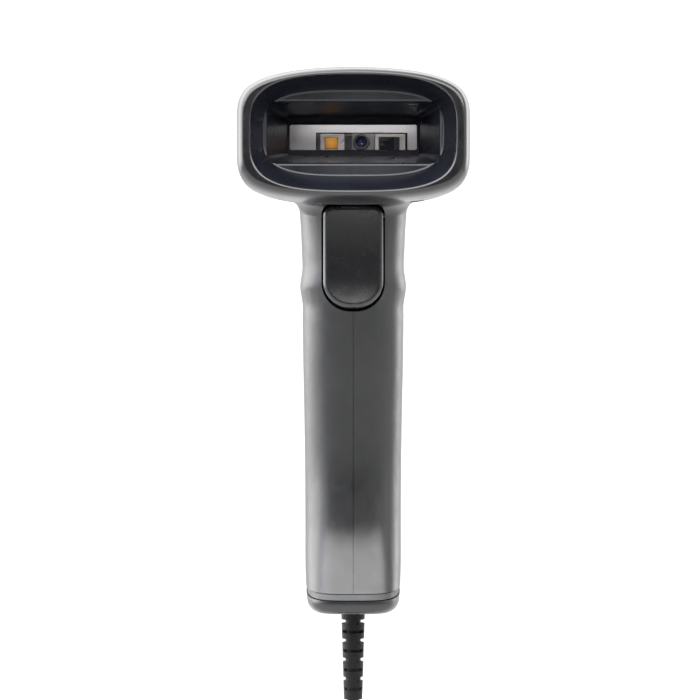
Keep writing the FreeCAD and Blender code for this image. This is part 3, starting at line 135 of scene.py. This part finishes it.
def bump(tree, height, strength, distance, onto=None):
    made = node(tree, "ShaderNodeBump")
    made.inputs["Strength"].default_value = strength
    made.inputs["Distance"].default_value = distance
    tree.links.new(height, made.inputs["Height"])
    if onto is not None:
        tree.links.new(onto, made.inputs["Normal"])
    return made.outputs["Normal"]


def edge_wear(tree, low=0.57, high=0.70):
    """Near 1 on sharp convex edges and 0 elsewhere."""
    geometry = node(tree, "ShaderNodeNewGeometry")
    return remap(tree, geometry.outputs["Pointiness"], low, high, 0.0, 1.0)


def moulded(
    name,
    colour,
    roughness,
    grain=0.0,
    grain_scale=9000.0,
    wear=0.25,
    variation=0.12,
    shine=0.5,
):
    """Moulded plastic: mottled tone, uneven gloss, spark-eroded grain and slightly polished edges."""
    material, tree, shader = new_material(name)
    dark = tuple(c * (1.0 - variation) for c in colour)
    light = tuple(c * (1.0 + variation) + 0.0005 for c in colour)
    worn = tuple(min(1.0, c * 1.8 + 0.01) for c in colour)
    base = ramp(tree, noise(tree, 60.0, 3.0), [(0.3, dark), (0.7, light)])
    mixed = node(tree, "ShaderNodeMix", data_type="RGBA")
    mixed.inputs["B"].default_value = (*worn, 1.0)
    tree.links.new(base, mixed.inputs["A"])
    wear_mask = node(tree, "ShaderNodeMath", operation="MULTIPLY")
    wear_mask.inputs[1].default_value = wear
    tree.links.new(edge_wear(tree), wear_mask.inputs[0])
    tree.links.new(wear_mask.outputs["Value"], mixed.inputs["Factor"])
    tree.links.new(mixed.outputs["Result"], shader.inputs["Base Color"])
    gloss = remap(tree, noise(tree, 220.0, 4.0, 0.6), 0.3, 0.7, roughness * 0.88, roughness * 1.12)
    tree.links.new(gloss, shader.inputs["Roughness"])
    shader.inputs["Specular IOR Level"].default_value = shine
    if grain > 0.0:
        fine = noise(tree, grain_scale, 2.0, 0.6)
        coarse = noise(tree, 350.0, 2.0, 0.5)
        first = bump(tree, fine, grain, 0.00004)
        tree.links.new(bump(tree, coarse, 0.06, 0.0002, first), shader.inputs["Normal"])
    else:
        tree.links.new(bump(tree, noise(tree, 120.0, 1.0), 0.02, 0.0002), shader.inputs["Normal"])
    return material


def metal(name, colour, roughness, scratch_scale=900.0):
    """Brushed or plated metal with fine scratches and smudged gloss."""
    material, tree, shader = new_material(name)
    shader.inputs["Metallic"].default_value = 1.0
    mapping = node(tree, "ShaderNodeMapping")
    mapping.inputs["Scale"].default_value = (1.0, 1.0, 0.08)
    tree.links.new(place_of(tree), mapping.inputs["Vector"])
    scratches = noise(tree, scratch_scale * 4.0, 4.0, 0.6, mapping.outputs["Vector"])
    dark = tuple(c * 0.82 for c in colour)
    tree.links.new(ramp(tree, scratches, [(0.25, dark), (0.75, colour)]), shader.inputs["Base Color"])
    gloss = remap(tree, noise(tree, 500.0, 3.0), 0.3, 0.7, roughness * 0.7, roughness * 1.3)
    tree.links.new(gloss, shader.inputs["Roughness"])
    tree.links.new(bump(tree, scratches, 0.12, 0.00003), shader.inputs["Normal"])
    return material


def paint(names, material):
    """Gives the named CAD nodes this material and no other."""
    for name in names:
        slots = nodes[name].data.materials
        slots.clear()
        slots.append(material)


def smooth(names, angle=35.0):
    """Shades CAD nodes smooth except across sharp edges, without touching their vertices."""
    for name in names:
        mesh = nodes[name].data
        mesh.shade_smooth()
        mesh.set_sharp_from_angle(angle=math.radians(angle))


# ---------------------------------------------------------------- lead
CABLE = 3.6 * MM
CABLE_Y = 0.8
FREE_CABLE_Z = -86.0
HANK_TOP_Z = -124.5
HANK_FIRST_RADIUS = 10.8
HANK_PITCH = 3.85
HANK_STRANDS = 3
HANK_LAYERS = 4
HANK_HALF_RUN = 27.0
HANK_PINCH = 6.5
FOLD_STRETCH = 1.012
FOLD_STEPS = 8
LEG_STEPS = 4

hank_entry_y = CABLE_Y - HANK_PITCH * (HANK_LAYERS + 1) / 2
hank_outer = HANK_FIRST_RADIUS + HANK_PITCH * (HANK_STRANDS - 1) + 1.8
hank_z = HANK_TOP_Z - hank_outer - HANK_HALF_RUN
lead_route = [
    (0.0, CABLE_Y, FREE_CABLE_Z),
    (0.0, CABLE_Y, -98.0),
    (0.0, hank_entry_y, -113.5),
    (0.0, hank_entry_y, -126.5),
]


def pinch(z):
    """How far the strap draws a strand in, at height z from the waist."""
    return HANK_PINCH * math.cos(math.pi * z / (2 * HANK_HALF_RUN)) ** 2


def hank_turn(start_radius, growth, y, next_y):
    """One turn: bottom fold, left leg up, top fold, right leg down, changing layer on the way down."""
    points = []
    steps = 2 * (FOLD_STEPS + LEG_STEPS)
    for k in range(steps):
        radius = start_radius + growth * k / steps
        if k < FOLD_STEPS:
            t = math.pi * k / FOLD_STEPS
            x, z = radius * math.cos(t), -HANK_HALF_RUN - FOLD_STRETCH * radius * math.sin(t)
        elif k < FOLD_STEPS + LEG_STEPS:
            z = HANK_HALF_RUN * (2.0 * (k - FOLD_STEPS) / LEG_STEPS - 1.0)
            x = pinch(z) - radius
        elif k < 2 * FOLD_STEPS + LEG_STEPS:
            t = math.pi * (k - FOLD_STEPS - LEG_STEPS) / FOLD_STEPS
            x, z = -radius * math.cos(t), HANK_HALF_RUN + FOLD_STRETCH * radius * math.sin(t)
        else:
            z = HANK_HALF_RUN * (1.0 - 2.0 * (k - 2 * FOLD_STEPS - LEG_STEPS) / LEG_STEPS)
            x = radius - pinch(z)
        down = max(0.0, (k - 2 * FOLD_STEPS - LEG_STEPS) / LEG_STEPS)
        points.append((x, y + (next_y - y) * down * down * (3 - 2 * down), hank_z + z))
    return points


plug_low, plug_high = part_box("usb_grip")
plug_y = 0.5 * (plug_low.y + plug_high.y) / MM

route = list(lead_route)
route += [
    (0.2, hank_entry_y, hank_z + 38.0),
    (0.8, hank_entry_y, hank_z + 27.0),
    (2.2, hank_entry_y, hank_z + 14.0),
    (4.3, hank_entry_y, hank_z),
    (7.2, hank_entry_y + 1.9, hank_z - 13.0),
    (9.9, hank_entry_y + 3.4, hank_z - 21.5),
]
reach = HANK_PITCH * (HANK_STRANDS - 1)
for layer in range(HANK_LAYERS):
    y = hank_entry_y + HANK_PITCH * (layer + 1)
    outward = layer % 2 == 0
    for turn in range(HANK_STRANDS - 1):
        last = turn == HANK_STRANDS - 2
        begin = HANK_FIRST_RADIUS + (HANK_PITCH * turn if outward else reach - HANK_PITCH * turn)
        growth = HANK_PITCH if outward else -HANK_PITCH
        points = hank_turn(begin, growth, y, y + HANK_PITCH if last else y)
        if last and layer == HANK_LAYERS - 1:
            points = points[: 2 * FOLD_STEPS + LEG_STEPS + 1]
        route += points
route += [
    (8.6, hank_entry_y + 16.6, hank_z + 17.0),
    (4.6, hank_entry_y + 18.8, hank_z + 7.5),
    (2.8, hank_entry_y + 19.2, hank_z),
    (1.0, plug_y - 1.0, hank_z - 6.0),
    (0.0, plug_y, hank_z - 11.5),
    (0.0, plug_y, hank_z - 16.0),
]

lead_curve = bpy.data.curves.new("lead", "CURVE")
lead_curve.dimensions = "3D"
lead_curve.bevel_depth = 1.0  # each point of the spline carries the cable's own radius
lead_curve.bevel_resolution = 5
lead_curve.use_fill_caps = True
lead_curve.resolution_u = 8
spline = lead_curve.splines.new("NURBS")
spline.points.add(len(route) - 1)
for point, (x, y, z) in zip(spline.points, route):
    point.co = (x * MM, y * MM, z * MM, 1.0)
    point.radius = CABLE / 2
spline.order_u = 3
spline.use_endpoint_u = True
lead = bpy.data.objects.new("lead", lead_curve)
bpy.context.scene.collection.objects.link(lead)
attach(lead, "housing")
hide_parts("cable_lead", "cable_hank")


# ---------------------------------------------------------------- materials
casing = moulded("casing", (0.0045, 0.0047, 0.005), 0.33, grain=0.25, wear=0.3)
bumper = moulded("bumper", (0.003, 0.003, 0.0035), 0.24, grain=0.05, wear=0.35)
trigger_plastic = moulded("trigger_plastic", (0.005, 0.0052, 0.0058), 0.26, grain=0.05, wear=0.3)
funnel = moulded("funnel", (0.003, 0.0035, 0.006), 0.30, wear=0.2, shine=0.35)
gasket = moulded("gasket", (0.004, 0.003, 0.007), 0.6, grain=0.2, shine=0.15)
band = moulded("band", (0.016, 0.016, 0.018), 0.5, grain=0.2)
carrier = moulded("carrier", (0.58, 0.56, 0.57), 0.45, grain=0.1, variation=0.04, wear=0.1)
engine_dark = moulded("engine_dark", (0.055, 0.05, 0.05), 0.4, grain=0.1)
engine_grey = moulded("engine_grey", (0.16, 0.155, 0.15), 0.4, grain=0.1)
# Near-black aimer prism: painted dark reflection standing in for what its facets show.
prism_painted_reflection = moulded("prism_painted_reflection", (0.006, 0.006, 0.007), 0.12)
chip_black = moulded("chip_black", (0.015, 0.015, 0.016), 0.5, grain=0.2)
ivory = moulded("ivory", (0.62, 0.59, 0.5), 0.4)
socket_black = moulded("socket_black", (0.02, 0.02, 0.02), 0.35, grain=0.1)
board_green = moulded("board_green", (0.012, 0.11, 0.045), 0.25, variation=0.25)
film_amber = moulded("film_amber", (0.32, 0.13, 0.02), 0.25, variation=0.15)
# Darker copy of the amber film: painted shade for the engine's flex deep in the head.
film_amber_painted_shade = moulded("film_amber_painted_shade", (0.02, 0.012, 0.006), 0.4, variation=0.15)
plug_white = moulded("plug_white", (0.75, 0.75, 0.73), 0.4)
milky = moulded("milky", (0.62, 0.66, 0.66), 0.3)
rubber = moulded("rubber", (0.0012, 0.0012, 0.0012), 0.6, grain=0.3, grain_scale=5000.0, shine=0.2)
jacket = moulded("jacket", (0.005, 0.005, 0.0055), 0.42, grain=0.2, grain_scale=4000.0, shine=0.3)
plug_black = moulded("plug_black", (0.014, 0.014, 0.015), 0.4, grain=0.25)
frame_metal = metal("frame_metal", (0.46, 0.43, 0.41), 0.35)
steel = metal("steel", (0.55, 0.55, 0.56), 0.3)
nickel = metal("nickel", (0.72, 0.71, 0.69), 0.2)
gold = metal("gold", (0.82, 0.58, 0.22), 0.25)


def clear_window():
    """The clear pane: almost all light passes straight through, with a faint reflection."""
    material, tree, shader = new_material("window_clear")
    shader.inputs["Base Color"].default_value = (0.01, 0.01, 0.015, 1.0)
    shader.inputs["Alpha"].default_value = 0.12
    gloss = remap(tree, noise(tree, 90.0, 3.0), 0.3, 0.7, 0.02, 0.07)
    tree.links.new(gloss, shader.inputs["Roughness"])
    tree.links.new(bump(tree, noise(tree, 40.0, 1.0), 0.02, 0.0002), shader.inputs["Normal"])
    return material


def amber_lens_painted_glow():
    """A warm diffuser with a painted glow: lighter orange in the middle than at the edge, and a faint
    emission in the same colour.
    """
    material, tree, shader = new_material("amber_lens_painted_glow")
    low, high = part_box("engine_lamp_lens")
    middle = (low + high) / 2
    mapping = node(tree, "ShaderNodeMapping", vector_type="POINT")
    mapping.inputs["Location"].default_value = tuple(-value for value in middle)
    tree.links.new(place_of(tree), mapping.inputs["Vector"])
    length = node(tree, "ShaderNodeVectorMath", operation="LENGTH")
    tree.links.new(mapping.outputs["Vector"], length.inputs[0])
    # Radial falloff of the painted glow, brightest at the lens centre.
    glow_falloff = remap(tree, length.outputs["Value"], 0.0004, 0.0030, 0.0, 1.0)
    stops = [(0.0, (1.0, 0.62, 0.20)), (0.45, (0.85, 0.40, 0.06)), (1.0, (0.40, 0.15, 0.02))]
    colour = ramp(tree, glow_falloff, stops)
    tree.links.new(colour, shader.inputs["Base Color"])
    tree.links.new(colour, shader.inputs["Emission Color"])
    # Faint emission: painted glow, the lens is not a light source.
    shader.inputs["Emission Strength"].default_value = 0.12
    shader.inputs["Roughness"].default_value = 0.2
    tree.links.new(bump(tree, noise(tree, 1500.0, 2.0), 0.15, 0.0001), shader.inputs["Normal"])
    return material


def coated_glass():
    """The dark lens with its blue anti-reflection coat."""
    material, tree, shader = new_material("coated_glass")
    stops = [(0.3, (0.01, 0.015, 0.05)), (0.7, (0.03, 0.03, 0.09))]
    tree.links.new(ramp(tree, noise(tree, 600.0, 2.0), stops), shader.inputs["Base Color"])
    shader.inputs["Roughness"].default_value = 0.03
    shader.inputs["Coat Weight"].default_value = 1.0
    shader.inputs["Coat Roughness"].default_value = 0.02
    shader.inputs["Coat Tint"].default_value = (0.6, 0.7, 1.0, 1.0)
    return material


def woven_strap():
    """Hook and loop strap: a fine loop pile."""
    material, tree, shader = new_material("woven_strap")
    weave = node(tree, "ShaderNodeTexVoronoi")
    weave.inputs["Scale"].default_value = 2600.0
    tree.links.new(place_of(tree), weave.inputs["Vector"])
    stops = [(0.0, (0.05, 0.05, 0.055)), (0.6, (0.012, 0.012, 0.014))]
    tree.links.new(ramp(tree, weave.outputs["Distance"], stops), shader.inputs["Base Color"])
    shader.inputs["Roughness"].default_value = 0.85
    shader.inputs["Sheen Weight"].default_value = 0.4
    tree.links.new(bump(tree, weave.outputs["Distance"], 0.5, 0.0002), shader.inputs["Normal"])
    return material


paint(["left_shell", "right_shell", "head_top_cover", "foot_cap"], casing)
paint(["front_bumper"], bumper)
paint(["trigger"], trigger_plastic)
paint(["scan_funnel"], funnel)
paint(["scan_window"], clear_window())
paint(["window_gasket"], gasket)
paint(["foot_gasket"], band)
paint(["engine_carrier"], carrier)
paint(["engine_chassis"], engine_dark)
paint(["engine_lens_block"], engine_grey)
paint(["engine_lens_ring"], engine_dark)
paint(["engine_lamp_frame", "engine_aimer_frame"], frame_metal)
paint(["engine_lamp_lens"], amber_lens_painted_glow())
paint(["engine_lens_glass"], coated_glass())
paint(["engine_aimer_prism"], prism_painted_reflection)
paint(["engine_board", "main_board", "indicator_board"], board_green)
paint(["processor_chip", "memory_chip", "interface_chip"], chip_black)
paint(["engine_socket", "board_socket", "indicator_socket"], ivory)
paint(["board_passives", "switch_plunger", "status_leds"], ivory)
paint(["beeper", "switch_body", "cable_socket"], socket_black)
paint(["engine_flex"], film_amber_painted_shade)
paint(["indicator_flex"], film_amber)
paint(["case_screws", "carrier_screws", "foot_screws", "trigger_spring"], steel)
paint(["trigger_pin"], engine_dark)
paint(["status_light_pipe"], milky)
paint(["cable_inner_plug"], milky)
paint(["cable_contacts", "usb_contacts"], gold)
paint(["cable_boot"], rubber)
paint(["cable_core"], jacket)
paint(["usb_grip"], plug_black)
paint(["usb_shell"], nickel)
paint(["usb_tongue"], plug_white)
paint(["cable_tie"], woven_strap())
lead.data.materials.append(jacket)
smooth([name for name in nodes if nodes[name].data.polygons])


# ---------------------------------------------------------------- studio
def pale_floor():
    """Pale, slightly uneven studio floor."""
    material, tree, shader = new_material("pale_floor")
    stops = [(0.3, grey(0.42)), (0.7, grey(0.47))]
    tree.links.new(ramp(tree, noise(tree, 4.0, 3.0), stops), shader.inputs["Base Color"])
    shader.inputs["Roughness"].default_value = 0.7
    tree.links.new(bump(tree, noise(tree, 200.0, 2.0), 0.05, 0.001), shader.inputs["Normal"])
    return material


FLOOR_HALF = 1.15
FLOOR_GAP = 0.05
floor_z = cad_box[0].z - FLOOR_GAP
floor_mesh = bpy.data.meshes.new("floor")
floor_mesh.from_pydata(
    [(x * FLOOR_HALF, y * FLOOR_HALF, floor_z) for x, y in ((-1, -1), (1, -1), (1, 1), (-1, 1))],
    [],
    [(0, 1, 2, 3)],
)
floor_mesh.materials.append(pale_floor())
floor = bpy.data.objects.new("floor", floor_mesh)
bpy.context.scene.collection.objects.link(floor)


WORLD_STRENGTH = 10.0
BELOW = grey(0.12)


def studio_world():
    """White surroundings, dark where the photographer stands, with a dark strip to the right."""
    world = bpy.data.worlds.new("studio")
    world.use_nodes = True
    tree = world.node_tree
    background = next(item for item in tree.nodes if item.type == "BACKGROUND")
    direction = node(tree, "ShaderNodeTexCoord").outputs["Generated"]
    parts = node(tree, "ShaderNodeSeparateXYZ")
    tree.links.new(direction, parts.inputs["Vector"])
    depth = remap(tree, parts.outputs["Y"], -1.0, 1.0, 0.0, 1.0)
    left_stops = [
        (0.00, grey(0.003)),
        (0.075, grey(0.010)),
        (0.20, (0.06, 0.06, 0.07)),
        (0.36, (0.60, 0.60, 0.66)),
        (0.60, grey(0.95)),
        (0.82, grey(0.60)),
        (0.95, grey(0.13)),
    ]
    right_stops = [
        (0.00, grey(0.003)),
        (0.075, grey(0.010)),
        (0.22, grey(0.06)),
        (0.40, grey(0.24)),
        (0.56, grey(0.12)),
        (0.64, grey(0.14)),
        (0.82, grey(0.60)),
        (0.95, grey(0.13)),
    ]
    left = ramp(tree, depth, left_stops)
    right = ramp(tree, depth, right_stops)
    mixed = node(tree, "ShaderNodeMix", data_type="RGBA")
    tree.links.new(remap(tree, parts.outputs["X"], -0.25, 0.25, 0.0, 1.0), mixed.inputs["Factor"])
    tree.links.new(left, mixed.inputs["A"])
    tree.links.new(right, mixed.inputs["B"])
    below = node(tree, "ShaderNodeMix", data_type="RGBA")
    tree.links.new(remap(tree, parts.outputs["Z"], -0.03, -0.16, 0.0, 1.0), below.inputs["Factor"])
    tree.links.new(mixed.outputs["Result"], below.inputs["A"])
    below.inputs["B"].default_value = (*BELOW, 1.0)
    tree.links.new(below.outputs["Result"], background.inputs["Color"])
    background.inputs["Strength"].default_value = WORLD_STRENGTH
    bpy.context.scene.world = world


def softbox(name, at, aim, size, watts):
    """A rectangular lamp at one place, turned towards another; the camera doesn't see it."""
    light = bpy.data.lights.new(name, "AREA")
    light.shape = "RECTANGLE"
    light.size, light.size_y = size
    light.energy = watts
    lamp = bpy.data.objects.new(name, light)
    lamp.location = at
    lamp.rotation_euler = (Vector(aim) - Vector(at)).to_track_quat("-Z", "Y").to_euler()
    lamp.visible_camera = False
    bpy.context.scene.collection.objects.link(lamp)
    return lamp


def spot(name, at, aim, degrees, watts):
    """A narrow soft-edged spot lamp."""
    light = bpy.data.lights.new(name, "SPOT")
    light.spot_size = math.radians(degrees)
    light.spot_blend = 0.6
    light.shadow_soft_size = 0.01
    light.energy = watts
    lamp = bpy.data.objects.new(name, light)
    lamp.location = at
    lamp.rotation_euler = (Vector(aim) - Vector(at)).to_track_quat("-Z", "Y").to_euler()
    bpy.context.scene.collection.objects.link(lamp)


studio_world()
softbox(
    "front_top",
    at=(0.0, -0.53, 0.505),
    aim=(0.0, -0.02, -0.045),
    size=(2.0, 0.48),
    watts=27.0,
)
softbox(
    "engine_bay",
    at=(0.0026, -0.0335, 0.0952),
    aim=(0.0026, -0.0262, 0.0915),
    size=(0.036, 0.001),
    watts=0.0014,
)
spot(
    "engine_front",
    at=(0.0035, -0.62, 0.032),
    aim=(0.0030, -0.028, 0.0885),
    degrees=3.4,
    watts=1.8,
)
scene = bpy.context.scene
scene.view_settings.view_transform = "Standard"
scene.view_settings.look = "None"
scene.view_settings.exposure = 0.0
